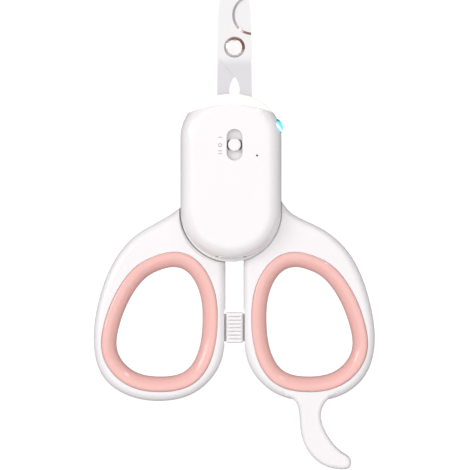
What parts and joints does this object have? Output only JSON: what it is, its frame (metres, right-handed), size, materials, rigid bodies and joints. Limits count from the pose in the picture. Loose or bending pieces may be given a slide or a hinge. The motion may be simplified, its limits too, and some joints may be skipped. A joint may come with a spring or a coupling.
{
  "type": "scissor nail clipper",
  "caption": "Scissor-type pet claw clipper with soft ringed loops, notched blades, slide lock and a lit housing with a switch.",
  "frame": {"origin": "on the rear cover's flat rest face, on the line of the blades, level with the middle of the housing", "axes": "+Z out of the front face, +Y towards the blade tips, +X to the right of the front view"},
  "size_m": [0.0787, 0.1383, 0.0169],
  "materials": {
    "white_abs_gloss": "polished white ABS",
    "white_abs": "satin white ABS",
    "frosted_lens": "frosted translucent polycarbonate",
    "uv_window": "clear tinted window",
    "lamp_epoxy": "clear cast epoxy",
    "clear_acrylic": "polished acrylic",
    "screw_steel": "nickel plated",
    "nickel_steel": "nickel plated sheet",
    "black_plastic": "moulded nylon",
    "board_green": "solder mask",
    "foam_tape": "double-sided tape",
    "cell_foil": "aluminium laminate pouch",
    "pink_tpe": "soft satin TPE",
    "blade_steel": "polished stainless steel",
    "rivet_steel": "polished steel",
    "spring_steel": "drawn spring wire"
  },
  "bodies": {
    "right_half": {"front_cover": "white_abs_gloss", "light_lens": "frosted_lens", "middle_frame": "white_abs", "rear_cover": "white_abs", "cover_screws": "screw_steel", "uv_lens": "uv_window", "uv_led": "lamp_epoxy", "slide_switch": "nickel_steel", "circuit_board": "board_green", "battery_pad": "foam_tape", "battery": "cell_foil", "usb_socket": "nickel_steel", "white_leds": "lamp_epoxy", "charge_led": "lamp_epoxy", "light_pipe": "clear_acrylic", "right_handle": "white_abs", "right_finger_ring": "pink_tpe", "front_blade": "blade_steel", "pivot_rivet": "rivet_steel", "pivot_washer": "rivet_steel", "opening_spring": "spring_steel"},
    "left_half": {"left_handle": "white_abs", "left_finger_ring": "pink_tpe", "rear_blade": "blade_steel"},
    "switch": {"switch_knob": "white_abs_gloss", "switch_lever": "black_plastic"},
    "lock": {"lock_slider": "white_abs"}
  },
  "joints": [
    {"name": "blade_pivot", "type": "hinge", "parent": "right_half", "child": "left_half", "pos_m": [0, 0.0367, 0.0044], "axis": [0, 0, -1], "range_deg": [0, 24], "deforming": ["opening_spring"]},
    {"name": "switch_slide", "type": "slide", "parent": "right_half", "child": "switch", "axis": [0, 1, 0], "range_m": [-0.002, 0.002]},
    {"name": "lock_slide", "type": "slide", "parent": "right_half", "child": "lock", "axis": [0, 1, 0], "range_m": [0, 0.004]}
  ]
}
